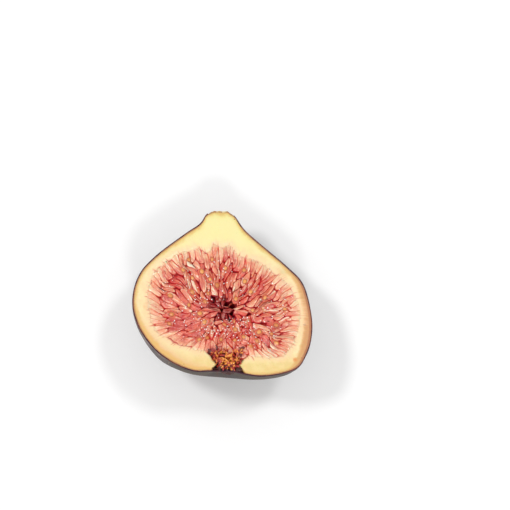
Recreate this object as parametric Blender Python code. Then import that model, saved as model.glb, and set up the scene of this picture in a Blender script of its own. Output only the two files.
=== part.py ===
"""Half of a fresh fig, cut from stalk to eye, lying on its rounded back with the cut face up.

The fruit grew as one piece, so it is one solid: purple skin behind, and in front a cut face of pale rind
around a slightly sunken bed of pulp with a small hollow at its middle.

While the shape is made, x runs across the cut face, y up the fig from its eye to its stalk, and z out of
the cut. At the end the half is laid in its resting place with +Z up, its neck towards +Y and a little lower,
and its origin is the middle of its footprint's box on the table.
"""

import math

import bmesh
import bpy
from mathutils import Matrix, Vector

MM = 0.001

# The cut face's outline in millimetres, from the stalk to the eye. Each row is the left and the right
# edge of one cross-section, which is a half circle behind the cut.
CROSS_SECTIONS = (
    ((-2.2, 50.5), (2.0, 50.6)),  # top of the cut stalk
    ((-4.4, 49.2), (4.2, 48.9)),  # rim of the stalk
    ((-6.4, 46.1), (7.0, 44.9)),  # neck
    ((-11.0, 42.5), (12.0, 40.4)),  # shoulder
    ((-19.0, 35.6), (19.8, 33.8)),
    ((-23.9, 29.3), (24.4, 28.6)),
    ((-25.6, 21.5), (26.6, 20.2)),  # widest part
    ((-23.8, 13.9), (26.8, 13.2)),
    ((-19.2, 7.3), (25.1, 7.0)),
    ((-13.8, 3.3), (21.5, 2.4)),  # base
    ((-8.0, 1.0), (12.0, 0.1)),  # foot, round the eye
    ((-3.4, 1.0), (3.6, 1.2)),  # rim of the eye
)
RINGS_PER_SECTION = 3
POINTS_ROUND = 64  # points in a whole ring, of which the half behind the cut is kept

BASE_LIFT = 2.4 * MM  # how far the base rounds up behind the cut
BASE_LIFT_SECTIONS = (8.0, 9.2)  # it grows between these cross-sections
BASE_LIFT_HALF_WIDTH = 17.7 * MM  # the half width at which it is that much, less where the base is narrower

RIBS = 8  # faint swellings that run down the skin behind the cut
RIB_DEPTH = 0.25 * MM  # how far the valleys between them sink

PULP_CENTRE = Vector((1.2 * MM, 20.5 * MM, 0.0))
RIND_AT_SIDE = 3.4 * MM
RIND_AT_NECK = 11.5 * MM
RIND_AT_BASE = 6.0 * MM
NECK_SPREAD = 30.0  # degrees either side of the neck where the rind thickens
BASE_SPREAD = 36.0
PULP_SINK = 0.5 * MM  # how far the pulp stands below the rind
PULP_SLOPE = 0.7 * MM
PIT_DEPTH = 2.2 * MM
PIT_HALF_LENGTH = 4.5 * MM
PIT_HALF_WIDTH = 2.6 * MM

NECK_DROOP = 10.0  # degrees that the neck lies lower than the eye
SIDE_DROOP = 3.0  # degrees that the fuller side lies lower
FLAT_RADIUS = 6.5 * MM  # the patch of skin that the fruit's weight has flattened

MERGE = 0.00001
CREASE_ANGLE = 35.0

SKIN, RIND, PULP = range(3)  # the order of the materials on the half


def clear_objects():
    for old in list(bpy.data.objects):
        bpy.data.objects.remove(old, do_unlink=True)


def curve_point(points, place):
    """The point at place, from 0 to the last index, on the Catmull-Rom curve through the points."""
    last = len(points) - 1
    index = min(int(place), last - 1)
    share = place - index
    before = points[max(index - 1, 0)]
    start = points[index]
    end = points[index + 1]
    after = points[min(index + 2, last)]
    return 0.5 * (
        2.0 * start
        + (end - before) * share
        + (2.0 * before - 5.0 * start + 4.0 * end - after) * share**2
        + (3.0 * start - before - 3.0 * end + after) * share**3
    )


def edge_points(side):
    return [Vector((row[side][0] * MM, row[side][1] * MM, 0.0)) for row in CROSS_SECTIONS]


def base_lift(place, half_width):
    start, end = BASE_LIFT_SECTIONS
    share = min(max((place - start) / (end - start), 0.0), 1.0)
    ease = share * share * (3.0 - 2.0 * share)
    return BASE_LIFT * ease * (half_width / BASE_LIFT_HALF_WIDTH) ** 0.6


def add_ring(bm, left, right, lift, rib_depth):
    """A ring on the line from left to right, square to the cut, with the ribs' valleys pressed in."""
    middle = (left + right) / 2.0
    across = (right - left) / 2.0
    ring = bmesh.ops.create_circle(bm, segments=POINTS_ROUND, radius=1.0)["verts"]
    for vert in ring:
        turn = math.atan2(vert.co.y, vert.co.x)
        valley = (1.0 - math.cos(2.0 * RIBS * turn)) / 2.0
        reach = 1.0 - rib_depth * valley / across.length
        away = Vector((0.0, lift * math.sin(turn) ** 2, math.sin(turn) * across.length))
        vert.co = middle + (across * math.cos(turn) + away) * reach
    return ring


def ring_edges(ring):
    own = set(ring)
    return [edge for edge in {e for vert in ring for e in vert.link_edges} if set(edge.verts) <= own]


def add_fruit(bm):
    """The whole fig's outside: a tube through every ring, closed at the stalk and at the eye."""
    left_edge = edge_points(0)
    right_edge = edge_points(1)
    steps = (len(CROSS_SECTIONS) - 1) * RINGS_PER_SECTION
    widest = max((right - left).length for left, right in zip(left_edge, right_edge))
    rings = []
    for step in range(steps + 1):
        place = step / RINGS_PER_SECTION
        left = curve_point(left_edge, place)
        right = curve_point(right_edge, place)
        width = (right - left).length
        lift = base_lift(place, width / 2.0)
        rings.append(add_ring(bm, left, right, lift, RIB_DEPTH * width / widest))
    loops = [ring_edges(ring) for ring in rings]
    for upper, lower in zip(loops, loops[1:]):
        bmesh.ops.bridge_loops(bm, edges=upper + lower)
    bmesh.ops.contextual_create(bm, geom=loops[0])
    bmesh.ops.contextual_create(bm, geom=loops[-1])
    bmesh.ops.recalc_face_normals(bm, faces=bm.faces)


def whole_geometry(bm):
    return bm.verts[:] + bm.edges[:] + bm.faces[:]


def slice_off(bm, point, outward):
    """Cut along the plane, drop what lies on its outward side, and return the open rim's edges."""
    bmesh.ops.bisect_plane(
        bm, geom=whole_geometry(bm), dist=MERGE, plane_co=point, plane_no=outward, clear_outer=True
    )
    return [edge for edge in bm.edges if edge.is_boundary]


def swell(angle, towards, spread):
    """1 in the direction towards, falling smoothly to 0 at spread to either side; all in degrees."""
    off = abs((angle - towards + 180.0) % 360.0 - 180.0)
    return math.cos(math.radians(90.0 * off / spread)) ** 2 if off < spread else 0.0


def rind_width(arm):
    angle = math.degrees(math.atan2(arm.y, arm.x))
    neck = (RIND_AT_NECK - RIND_AT_SIDE) * swell(angle, 90.0, NECK_SPREAD)
    base = (RIND_AT_BASE - RIND_AT_SIDE) * swell(angle, -90.0, BASE_SPREAD)
    return RIND_AT_SIDE + neck + base


def extrude_rim(bm, edges, place, material_index):
    """Extrude the rim's edges, put each new point where place says, and return the new rim's edges."""
    made = bmesh.ops.extrude_edge_only(bm, edges=edges)["geom"]
    for vert in [item for item in made if isinstance(item, bmesh.types.BMVert)]:
        vert.co = place(vert.co)
    for face in [item for item in made if isinstance(item, bmesh.types.BMFace)]:
        face.material_index = material_index
    return [item for item in made if isinstance(item, bmesh.types.BMEdge) and item.is_boundary]


def inside_rind(point):
    arm = point - PULP_CENTRE
    return PULP_CENTRE + arm * (1.0 - rind_width(arm) / arm.length)


def onto_pulp(point):
    arm = point - PULP_CENTRE
    lower = Vector((0.0, 0.0, -PULP_SINK))
    return PULP_CENTRE + arm * (1.0 - PULP_SLOPE / arm.length) + lower


def halfway_in(point):
    arm = point - PULP_CENTRE
    return PULP_CENTRE + Vector((arm.x * 0.55, arm.y * 0.55, arm.z))


def pit_point(size, depth):
    """Places a point on the pit's oval, scaled by size, at that depth."""

    def place(point):
        arm = point - PULP_CENTRE
        turn = math.atan2(arm.y, arm.x)
        across = PIT_HALF_LENGTH * size * math.cos(turn)
        up = PIT_HALF_WIDTH * size * math.sin(turn)
        return PULP_CENTRE + Vector((across, up, -depth))

    return place


def add_cut_face(bm, rim):
    """Rind, then the sunken pulp, then the pit at its middle, each a ring of faces inside the last."""
    rim = extrude_rim(bm, rim, inside_rind, RIND)
    rim = extrude_rim(bm, rim, onto_pulp, PULP)
    rim = extrude_rim(bm, rim, halfway_in, PULP)
    rim = extrude_rim(bm, rim, pit_point(1.0, PULP_SINK), PULP)
    rim = extrude_rim(bm, rim, pit_point(0.5, PIT_DEPTH), PULP)
    bmesh.ops.contextual_create(bm, geom=rim, mat_nr=PULP)


def lay_down(bm):
    """Turn the half into its resting place, flatten the patch that it lies on, and centre it."""
    droop = Matrix.Rotation(math.radians(-NECK_DROOP), 4, "X")
    lean = Matrix.Rotation(math.radians(SIDE_DROOP), 4, "Y")
    bmesh.ops.transform(bm, matrix=lean @ droop, verts=bm.verts)
    lowest = min(bm.verts, key=lambda vert: vert.co.z).co.copy()
    width = max(vert.co.x for vert in bm.verts) - min(vert.co.x for vert in bm.verts)
    press = width / 2.0 - math.sqrt((width / 2.0) ** 2 - FLAT_RADIUS**2)
    rim = slice_off(bm, lowest + Vector((0.0, 0.0, press)), Vector((0.0, 0.0, -1.0)))
    bmesh.ops.contextual_create(bm, geom=rim)
    low = Vector(min(vert.co[axis] for vert in bm.verts) for axis in range(3))
    high = Vector(max(vert.co[axis] for vert in bm.verts) for axis in range(3))
    foot = Vector(((low.x + high.x) / 2.0, (low.y + high.y) / 2.0, low.z))
    bmesh.ops.translate(bm, vec=-foot, verts=bm.verts)


def plain_material(name, colour, roughness):
    material = bpy.data.materials.new(name)
    material.use_nodes = True
    shader = material.node_tree.nodes["Principled BSDF"]
    shader.inputs["Base Color"].default_value = (*colour, 1.0)
    shader.inputs["Roughness"].default_value = roughness
    shader.inputs["Metallic"].default_value = 0.0
    return material


def skin_material():
    return plain_material("fig_skin", (0.13, 0.10, 0.10), 0.55)


def rind_material():
    return plain_material("fig_rind", (0.90, 0.70, 0.42), 0.45)


def pulp_material():
    return plain_material("fig_pulp", (0.60, 0.09, 0.06), 0.30)


def make_fig_half():
    bm = bmesh.new()
    add_fruit(bm)
    cut_rim = slice_off(bm, Vector(), Vector((0.0, 0.0, 1.0)))
    add_cut_face(bm, cut_rim)
    lay_down(bm)
    bmesh.ops.recalc_face_normals(bm, faces=bm.faces)
    mesh = bpy.data.meshes.new("fig_half")
    bm.to_mesh(mesh)
    bm.free()
    mesh.shade_smooth()
    mesh.set_sharp_from_angle(angle=math.radians(CREASE_ANGLE))
    for material in (skin_material(), rind_material(), pulp_material()):
        mesh.materials.append(material)
    fig = bpy.data.objects.new("fig_half", mesh)
    bpy.context.scene.collection.objects.link(fig)
    return fig


clear_objects()
make_fig_half()
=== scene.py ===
# Half of a fresh fig, cut from stalk to eye, lying on its rounded back with the cut face up.
import bisect
import itertools
import math
import random

import bmesh
import bpy
from mathutils import Matrix, Vector, noise


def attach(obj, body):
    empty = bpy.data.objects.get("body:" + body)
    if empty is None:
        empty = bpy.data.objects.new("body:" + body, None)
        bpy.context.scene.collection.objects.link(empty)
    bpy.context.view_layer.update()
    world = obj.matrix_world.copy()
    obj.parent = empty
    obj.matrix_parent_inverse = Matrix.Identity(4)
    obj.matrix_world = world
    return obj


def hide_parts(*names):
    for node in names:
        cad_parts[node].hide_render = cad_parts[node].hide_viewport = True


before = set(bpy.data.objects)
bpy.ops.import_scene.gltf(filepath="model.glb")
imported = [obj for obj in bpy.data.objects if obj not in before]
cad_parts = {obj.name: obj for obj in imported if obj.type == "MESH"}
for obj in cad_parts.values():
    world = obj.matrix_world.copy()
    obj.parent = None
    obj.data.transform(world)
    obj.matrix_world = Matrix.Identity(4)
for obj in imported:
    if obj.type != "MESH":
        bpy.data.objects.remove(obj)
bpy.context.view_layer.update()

mm = 0.001
up = Vector((0.0, 0.0, 1.0))

# The fig is shaped in its face frame: x across the cut, y from the eye to the stalk, z out of the cut.
fig = {
    # left and right edge of each cross-section, in mm, from the stalk to the eye
    "crossSections": (
        ((-2.2, 50.5), (2.0, 50.6)),
        ((-4.4, 49.2), (4.2, 48.9)),
        ((-6.4, 46.1), (7.0, 44.9)),
        ((-11.0, 42.5), (12.0, 40.4)),
        ((-19.0, 35.6), (19.8, 33.8)),
        ((-23.9, 29.3), (24.4, 28.6)),
        ((-25.6, 21.5), (26.6, 20.2)),
        ((-23.8, 13.9), (26.8, 13.2)),
        ((-19.2, 7.3), (25.1, 7.0)),
        ((-13.8, 3.3), (21.5, 2.4)),
        ((-8.0, 1.0), (12.0, 0.1)),
        ((-3.4, 1.0), (3.6, 1.2)),
    ),
    "heart": (1.2, 20.5),  # middle of the hollow that the florets point at, mm
    # width of the rind in mm by direction from the heart, in degrees
    "rindWidths": (
        (-178, 4.3), (-160, 3.6), (-145, 5.0), (-125, 6.4), (-108, 6.8), (-90, 6.8), (-70, 6.3),
        (-55, 6.5), (-40, 5.2), (-20, 4.2), (0, 2.9), (20, 3.6), (40, 4.0), (56, 4.3), (68, 6.2),
        (80, 8.4), (92, 11.2), (103, 9.6), (117, 5.2), (132, 3.3), (150, 3.0), (168, 3.9),
    ),
    # the eye's canal in mm: its middle, its waist's height and half width, its flares and its top
    "canal": {"middle": 2.3, "waistY": 3.3, "waist": 3.5, "flare": 0.8, "lip": 0.6, "top": 7.9},
    "baseLift": 2.4,  # mm that the base rounds up behind the cut
    "liftSections": (8.0, 9.2),
    "liftHalfWidth": 17.7,
    "neckDroop": 10.0,  # degrees that the neck lies lower than the eye
    "sideDroop": 3.0,
    "flatRadius": 6.5,  # mm, the patch that the fruit's weight has flattened
}


def smooth(low, high, value):
    share = min(max((value - low) / (high - low), 0.0), 1.0)
    return share * share * (3.0 - 2.0 * share)


def blend(start, end, share):
    return start + (end - start) * share


def curvePoint(points, place):
    # Catmull-Rom through the points; place runs from 0 to the last index
    last = len(points) - 1
    index = min(max(int(place), 0), last - 1)
    share = place - index
    before, start = points[max(index - 1, 0)], points[index]
    end, after = points[index + 1], points[min(index + 2, last)]
    return 0.5 * (
        2.0 * start
        + (end - before) * share
        + (2.0 * before - 5.0 * start + 4.0 * end - after) * share**2
        + (3.0 * start - before - 3.0 * end + after) * share**3
    )


def edgeOf(side):
    return [Vector((row[side][0], row[side][1], 0.0)) * mm for row in fig["crossSections"]]


leftEdge, rightEdge = edgeOf(0), edgeOf(1)
lastSection = len(leftEdge) - 1
heart = Vector((fig["heart"][0], fig["heart"][1], 0.0)) * mm


def bodyPoint(place, turn):
    # the fig's outside; turn runs from 0 at the right edge, behind the cut, to pi at the left edge
    left, right = curvePoint(leftEdge, place), curvePoint(rightEdge, place)
    across = (right - left) / 2.0
    lift = fig["baseLift"] * smooth(*fig["liftSections"], place) * mm
    lift *= (across.length / (fig["liftHalfWidth"] * mm)) ** 0.6
    behind = Vector((0.0, lift * math.sin(turn) ** 2, -across.length * math.sin(turn)))
    return (left + right) / 2.0 + across * math.cos(turn) + behind


def sectionMiddle(place):
    return (curvePoint(leftEdge, place) + curvePoint(rightEdge, place)) / 2.0


def spreadPoints(stops, lengths, count):
    # points evenly spaced round a closed run of stops, from the lengths walked at each stop
    points, index = [], 0
    for step in range(count):
        goal = lengths[-1] * step / count
        while lengths[index + 1] < goal:
            index += 1
        share = (goal - lengths[index]) / max(lengths[index + 1] - lengths[index], 1e-9)
        points.append(stops[index].lerp(stops[(index + 1) % len(stops)], share))
    return points


def outlineLoop(count):
    # points evenly spaced round the cut face, starting at the left of the stalk
    steps = 16 * lastSection
    loop = [curvePoint(leftEdge, lastSection * step / steps) for step in range(steps + 1)]
    loop += [curvePoint(rightEdge, lastSection * (1.0 - step / steps)) for step in range(steps + 1)]
    loop.append(loop[0])
    walks = [(end - start).length for start, end in zip(loop, loop[1:])]
    return spreadPoints(loop, [0.0, *itertools.accumulate(walks)], count)


def rindWidth(angle):
    # metres of rind in the direction angle, in degrees from the heart
    table = fig["rindWidths"]
    for index, (start, width) in enumerate(table):
        end, nextWidth = table[(index + 1) % len(table)]
        span = (end - start) % 360.0
        along = (angle - start) % 360.0
        if along < span:
            return blend(width, nextWidth, smooth(0.0, span, along)) * mm
    return table[0][1] * mm


def bearing(point):
    arm = point - heart
    return math.degrees(math.atan2(arm.y, arm.x))


edgeByBearing = sorted((bearing(point), (point - heart).length) for point in outlineLoop(720))
edgeBearings = [row[0] for row in edgeByBearing]


def outerRadius(angle):
    high = min(max(bisect.bisect_right(edgeBearings, angle), 1), len(edgeBearings) - 1)
    start, low = edgeByBearing[high - 1]
    end, far = edgeByBearing[high]
    return blend(low, far, (angle - start) / max(end - start, 1e-6))


def pulpRadius(angle):
    return outerRadius(angle) - rindWidth(angle)


def seatMatrix():
    # from the face frame to the table: the turns, then the middle of the half's footprint at the origin
    turned = Matrix.Rotation(math.radians(fig["sideDroop"]), 4, "Y")
    turned = turned @ Matrix.Rotation(math.radians(-fig["neckDroop"]), 4, "X")
    points = [
        turned @ bodyPoint(row / 4.0, math.pi * step / 48)
        for row in range(4 * lastSection + 1)
        for step in range(49)
    ]
    low = Vector(min(point[axis] for point in points) for axis in range(3))
    high = Vector(max(point[axis] for point in points) for axis in range(3))
    halfWidth = (high.x - low.x) / 2.0
    press = halfWidth - math.sqrt(halfWidth**2 - (fig["flatRadius"] * mm) ** 2)
    foot = Vector(((low.x + high.x) / 2.0, (low.y + high.y) / 2.0, low.z + press))
    return Matrix.Translation(-foot) @ turned


seat = seatMatrix()
print("frame: seat", [round(value * 1000, 2) for value in seat.translation])


def seated(point):
    # onto the table, with the flattened patch eased in
    placed = seat @ point
    ease = 0.25 * mm
    placed.z = (placed.z + math.sqrt(placed.z**2 + ease**2)) / 2.0
    return placed


def wobble(point, size, seed=0.0):
    # smooth noise from -1 to 1, with features about `size` metres across
    return noise.noise(point / size + Vector((seed, seed * 0.7, -seed)))


def asMesh(bm, name):
    mesh = bpy.data.meshes.new(name)
    bm.to_mesh(mesh)
    bm.free()
    return mesh


def shapeMesh(name, create, **settings):
    # one of bmesh's shapes as a mesh
    bm = bmesh.new()
    create(bm, **settings)
    return asMesh(bm, name)


def addObject(name, data):
    made = bpy.data.objects.new(name, data)
    bpy.context.scene.collection.objects.link(made)
    return made


def floatLayers(bm, names):
    return {name: bm.verts.layers.float.new(name) for name in names}


def stamp(bm, mesh):
    count = len(bm.verts)
    bm.from_mesh(mesh)
    return bm.verts[count:]


def thicken(bm, thickness):
    # a wall behind an open shell, once its faces point away from the heart
    bmesh.ops.recalc_face_normals(bm, faces=bm.faces)
    probe = bm.faces[:][0]
    if probe.normal.dot(probe.calc_center_median() - heart) < 0.0:
        bmesh.ops.reverse_faces(bm, faces=bm.faces)
    bmesh.ops.solidify(bm, geom=bm.faces[:], thickness=thickness * mm)


def finishPiece(bm, name, material, slot, sharp=None):
    bmesh.ops.remove_doubles(bm, verts=bm.verts, dist=1e-7)
    bmesh.ops.recalc_face_normals(bm, faces=bm.faces)
    mesh = asMesh(bm, name)
    mesh.shade_smooth()
    if sharp:
        mesh.set_sharp_from_angle(angle=math.radians(sharp))
    mesh.materials.append(material)
    piece = addObject(name, mesh)
    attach(piece, "root")
    print("piece", name, len(mesh.polygons), "faces")
    return piece


def tint(red, green, blue):
    # screen values from 0 to 255 as the linear colour that shaders take
    def linear(value):
        value /= 255.0
        return value / 12.92 if value <= 0.04045 else ((value + 0.055) / 1.055) ** 2.4

    return (linear(red), linear(green), linear(blue), 1.0)


def tints(colours):
    return {name: tint(*colour) for name, colour in colours.items()}


class Wire:
    # a node's output that Python's arithmetic works on
    def __init__(self, look, socket):
        self.look = look
        self.socket = socket

    def math(self, operation, *values):
        return self.look.math(operation, self, *values)

    def __add__(self, other):
        return self.math("ADD", other)

    def __sub__(self, other):
        return self.math("SUBTRACT", other)

    def __rsub__(self, other):
        return self.look.math("SUBTRACT", other, self)

    def __mul__(self, other):
        return self.math("MULTIPLY", other)

    def abs(self):
        return self.math("ABSOLUTE")

    __radd__ = __add__
    __rmul__ = __mul__


class Look:
    # one material while its nodes are made
    def __init__(self, name):
        self.material = bpy.data.materials.new(name)
        self.material.use_nodes = True
        self.nodes = self.material.node_tree.nodes
        self.links = self.material.node_tree.links
        self.shader = self.nodes["Principled BSDF"]

    def node(self, kind, settings=None, values=None, output=0):
        made = self.nodes.new(kind)
        for name, value in (settings or {}).items():
            setattr(made, name, value)
        self.feed(made, values or {})
        return Wire(self, made.outputs[output])

    def math(self, operation, *values):
        return self.node("ShaderNodeMath", {"operation": operation}, dict(enumerate(values)))

    def feed(self, made, values):
        for name, value in values.items():
            if isinstance(value, Wire):
                self.links.new(value.socket, made.inputs[name])
            else:
                made.inputs[name].default_value = value

    def surface(self, **values):
        # Principled's sockets by name, with underscores for spaces
        self.feed(self.shader, {name.replace("_", " "): value for name, value in values.items()})
        return self.material

    def attribute(self, name):
        return self.node("ShaderNodeAttribute", {"attribute_name": name}, output="Fac")

    def objectSpace(self):
        return self.node("ShaderNodeTexCoord", output="Object")

    def uv(self, name):
        return self.node("ShaderNodeUVMap", {"uv_map": name})

    def map(self, vector, scale):
        return self.node("ShaderNodeMapping", None, {"Vector": vector, "Scale": scale})

    def axis(self, vector, name):
        return self.node("ShaderNodeSeparateXYZ", None, {"Vector": vector}, output=name)

    def vectorMath(self, operation, values, output):
        return self.node("ShaderNodeVectorMath", {"operation": operation}, dict(enumerate(values)), output)

    def noise(self, vector, scale, detail=3.0, roughness=0.55, distortion=0.0):
        values = {"Vector": vector, "Scale": scale, "Detail": detail}
        values.update({"Roughness": roughness, "Distortion": distortion})
        return self.node("ShaderNodeTexNoise", None, values)

    def cells(self, vector, scale):
        return self.node("ShaderNodeTexVoronoi", None, {"Vector": vector, "Scale": scale}, "Distance")

    def step(self, value, low, high):
        # 0 below low, 1 above high, eased between; low may be the greater
        return self.node(
            "ShaderNodeMapRange",
            {"interpolation_type": "SMOOTHSTEP"},
            {"Value": value, "From Min": low, "From Max": high},
        )

    def mix(self, first, second, share):
        return self.node(
            "ShaderNodeMix", {"data_type": "RGBA"}, {0: share, 6: first, 7: second}, output=2
        )

    def bump(self, height, distance, strength):
        values = {"Height": height, "Distance": distance, "Strength": strength}
        return self.node("ShaderNodeBump", None, values)


skinParts = {
    "rows": 150,
    "columns": 190,
    "thickness": 0.36,  # mm
    "ribs": 8,  # behind the cut
    "ribDepth": 0.28,  # mm
    "wrinkle": 0.07,  # mm, fine lengthwise wrinkles
    "dent": 0.16,  # mm, broad hollows of soft fruit
    "topPlace": 0.85,  # the skin stops at the rim of the cut stalk
    "eyeRadius": 0.3,  # mm, the pole at the base
    "capRows": 0.06,  # share of the rows that close the base
    "colours": {
        "bloom": (114, 103, 101),
        "bloomPale": (146, 134, 130),
        "deep": (50, 37, 44),
        "olive": (100, 91, 77),
        "rust": (112, 62, 52),
        # darker towards the eye: partly the skin's own olive, partly painted shade
        "baseShade": (78, 66, 56),
        "fleck": (222, 188, 144),
        "cutEdge": (62, 26, 44),
        "cutBrown": (106, 58, 52),
    },
}


def ribWave(turn, place):
    # the valleys wander a little and aren't evenly deep
    wander = 0.35 * noise.noise(Vector((place * 0.55, turn * 1.3, 4.0)))
    depth = 0.65 + 0.7 * noise.noise(Vector((turn * 2.0, place * 0.3, 9.0)))
    return depth * (1.0 - math.cos(2.0 * skinParts["ribs"] * (turn + wander * math.sin(turn)))) / 2.0


def skinPoint(place, turn, inset=0.0):
    point = bodyPoint(place, turn)
    middle = sectionMiddle(place)
    outward = (point - middle).normalized()
    width = (point - middle).length
    fullness = smooth(0.0, 20.0 * mm, width)
    behind = smooth(0.0, 0.25, math.sin(turn))
    sink = skinParts["ribDepth"] * ribWave(turn, place) * behind * fullness
    fine = noise.noise(Vector((turn * 34.0, place * 1.6, 2.0)))
    sink += skinParts["wrinkle"] * fine * (0.35 + 0.65 * behind) * smooth(0.0, 6.0 * mm, width)
    sink += skinParts["dent"] * wobble(point, 9.0 * mm, 3.0) * behind * fullness
    return point - outward * (sink * mm + inset)


def makeSkin(material):
    bm = bmesh.new()
    bmesh.ops.create_grid(bm, x_segments=skinParts["columns"], y_segments=skinParts["rows"], size=1.0)
    flow = bm.loops.layers.uv.new("flow")
    layers = floatLayers(bm, ("rim", "valley"))
    capRows = skinParts["capRows"]
    turns, places = {}, {}
    for vert in bm.verts:
        turns[vert] = math.pi * (vert.co.x + 1.0) / 2.0
        share = (vert.co.y + 1.0) / 2.0
        body = min(share / (1.0 - capRows), 1.0)
        cap = max(share - (1.0 - capRows), 0.0) / capRows
        places[vert] = (blend(skinParts["topPlace"], lastSection, body), cap)
    for vert in bm.verts:
        place, cap = places[vert]
        span = curvePoint(rightEdge, place) - curvePoint(leftEdge, place)
        vert[layers["rim"]] = 1.0 if turns[vert] < 0.003 or turns[vert] > math.pi - 0.003 else 0.0
        vert[layers["valley"]] = ribWave(turns[vert], place)
        vert.co = skinPoint(place, turns[vert], cap * (span.length / 2.0 - skinParts["eyeRadius"] * mm))
    for face in bm.faces:
        for loop in face.loops:
            place, cap = places[loop.vert]
            loop[flow].uv = (turns[loop.vert] / math.pi, (place + cap) / (lastSection + 1.0))
    thicken(bm, skinParts["thickness"])
    for vert in bm.verts:
        vert.co = seated(vert.co)
    return finishPiece(bm, "skin", material, "skin", sharp=50)


def skinLook():
    look = Look("fig skin with bloom")
    hue = tints(skinParts["colours"])
    flow = look.uv("flow")
    space = look.objectSpace()
    rim = look.attribute("rim")
    valley = look.attribute("valley")
    broad = look.noise(space, 75.0, 3.0, 0.6)
    streaks = look.noise(look.map(flow, (30.0, 4.0, 1.0)), 1.0, 4.0, 0.6)
    grain = look.noise(space, 1100.0, 4.0, 0.7)
    specks = look.noise(space, 2400.0, 2.0, 0.6)
    colour = look.mix(hue["bloomPale"], hue["bloom"], look.step(broad, 0.35, 0.6))
    # darker and more olive towards the eye: partly the skin's own olive there, partly painted shade where
    # that end lies in shade
    base = look.step(look.axis(flow, "Y"), 0.66, 0.86)
    olive = look.step(look.noise(space, 48.0, 2.0) + (streaks - 0.5) * 0.3 + base * 0.2, 0.44, 0.62)
    colour = look.mix(colour, hue["olive"], olive * 0.75)
    colour = look.mix(colour, hue["baseShade"], base * 0.6)
    # where the bloom has been rubbed thin the dark skin shows through
    thin = look.step(broad * 0.5 + streaks * 0.4 + grain * 0.35 + valley * 0.06, 0.62, 0.78)
    colour = look.mix(colour, hue["deep"], thin * 0.8)
    rust = look.step(look.noise(look.map(flow, (6.0, 5.0, 1.0)), 1.0, 5.0, 0.65), 0.585, 0.68)
    rust = rust * look.step(grain + (broad - 0.5) * 0.5, 0.34, 0.56)
    colour = look.mix(colour, hue["rust"], rust * 0.8)
    # dark lines that run from the stalk to the eye, broken into dashes
    lines = look.noise(look.map(flow, (15.0, 1.2, 1.0)), 1.0, 2.0, 0.5, 0.4)
    line = look.step((lines - 0.5).abs(), 0.022, 0.006) + look.step((lines - 0.6).abs(), 0.016, 0.004)
    line = line * look.step(look.noise(look.map(flow, (14.0, 9.0, 1.0)), 1.0, 3.0), 0.45, 0.56)
    line = line * look.step(grain, 0.34, 0.5)
    colour = look.mix(colour, hue["deep"], line * 0.85)
    dark = look.step(specks * 0.6 + grain * 0.4 + (broad - 0.5) * 0.25, 0.56, 0.64)
    colour = look.mix(colour, hue["deep"], dark * 0.6)
    flecks = look.step(look.cells(space, 420.0), 0.11, 0.05)
    flecks = flecks * look.step(look.noise(space, 160.0, 1.0), 0.45, 0.55)
    colour = look.mix(colour, hue["fleck"], flecks * 0.85)
    cut = look.mix(hue["cutEdge"], hue["cutBrown"], look.step(broad, 0.45, 0.62))
    colour = look.mix(colour, cut, look.step(rim, 0.45, 0.85))
    height = streaks * 0.4 + grain * 0.4 + specks * 0.2 - flecks * 0.3 - line * 0.35
    return look.surface(
        Base_Color=colour,
        Roughness=0.66 - thin * 0.16 - line * 0.1,
        Normal=look.bump(height, 0.00016, 0.8),
        Specular_IOR_Level=0.22,
    )


# the pale end where the stalk was cut off, closing the top of the skin
stalkParts = {
    "columns": 60,
    "rows": 30,
    "wallRows": 0.6,  # share of the rows inside the skin, the others close the end
    "overlap": 0.08,  # how much farther down than the skin's rim it starts
    "inset": 0.05,  # of its width, inside the skin
    "closed": 0.985,  # how far its end closes to the middle
    "ragged": 0.3,  # mm
    "sunk": 0.12,
    "thickness": 0.4,
    "colours": {
        "cut": (236, 218, 160),
        "cutShade": (200, 164, 100),
        "browned": (190, 146, 92),
        "rim": (116, 76, 58),
        "speck": (112, 74, 50),
    },
}


def makeStalkEnd(material):
    bm = bmesh.new()
    bmesh.ops.create_grid(bm, x_segments=stalkParts["columns"], y_segments=stalkParts["rows"], size=1.0)
    browned = bm.verts.layers.float.new("browned")
    lip = skinParts["topPlace"] + stalkParts["overlap"]
    wall = stalkParts["wallRows"]
    for vert in bm.verts:
        turn = math.pi * (vert.co.x + 1.0) / 2.0
        share = (vert.co.y + 1.0) / 2.0
        place = lip * max(1.0 - share / wall, 0.0)
        cap = max(share - wall, 0.0) / (1.0 - wall)
        middle = sectionMiddle(place)
        point = bodyPoint(place, turn).lerp(middle, stalkParts["closed"] * cap)
        point.y += (stalkParts["ragged"] * wobble(point, 1.1 * mm, 7.0) - stalkParts["sunk"]) * mm
        vert[browned] = 1.0 - cap
        vert.co = middle + (point - middle) * (1.0 - stalkParts["inset"] * (1.0 - cap))
    thicken(bm, stalkParts["thickness"])
    bmesh.ops.transform(bm, matrix=seat, verts=bm.verts)
    return finishPiece(bm, "stalk_end", material, "rind")


def stalkEndLook():
    look = Look("cut stalk end")
    hue = tints(stalkParts["colours"])
    space = look.objectSpace()
    cloud = look.noise(space, 600.0, 3.0, 0.6)
    fine = look.noise(space, 2200.0, 2.0)
    browned = look.attribute("browned") + (cloud - 0.5) * 0.5
    colour = look.mix(hue["cut"], hue["cutShade"], look.step(cloud, 0.4, 0.65))
    colour = look.mix(colour, hue["browned"], look.step(browned, 0.3, 0.9) * 0.8)
    colour = look.mix(colour, hue["rim"], look.step(browned, 0.95, 1.15) * 0.85)
    colour = look.mix(colour, hue["speck"], look.step(fine, 0.58, 0.7) * 0.7)
    return look.surface(
        Base_Color=colour,
        Roughness=0.55 + cloud * 0.1,
        Normal=look.bump(cloud * 0.6 + fine * 0.4, 0.0002, 0.8),
        Subsurface_Weight=0.2,
        Subsurface_Radius=(1.0, 0.6, 0.3),
        Subsurface_Scale=0.0008,
    )


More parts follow.
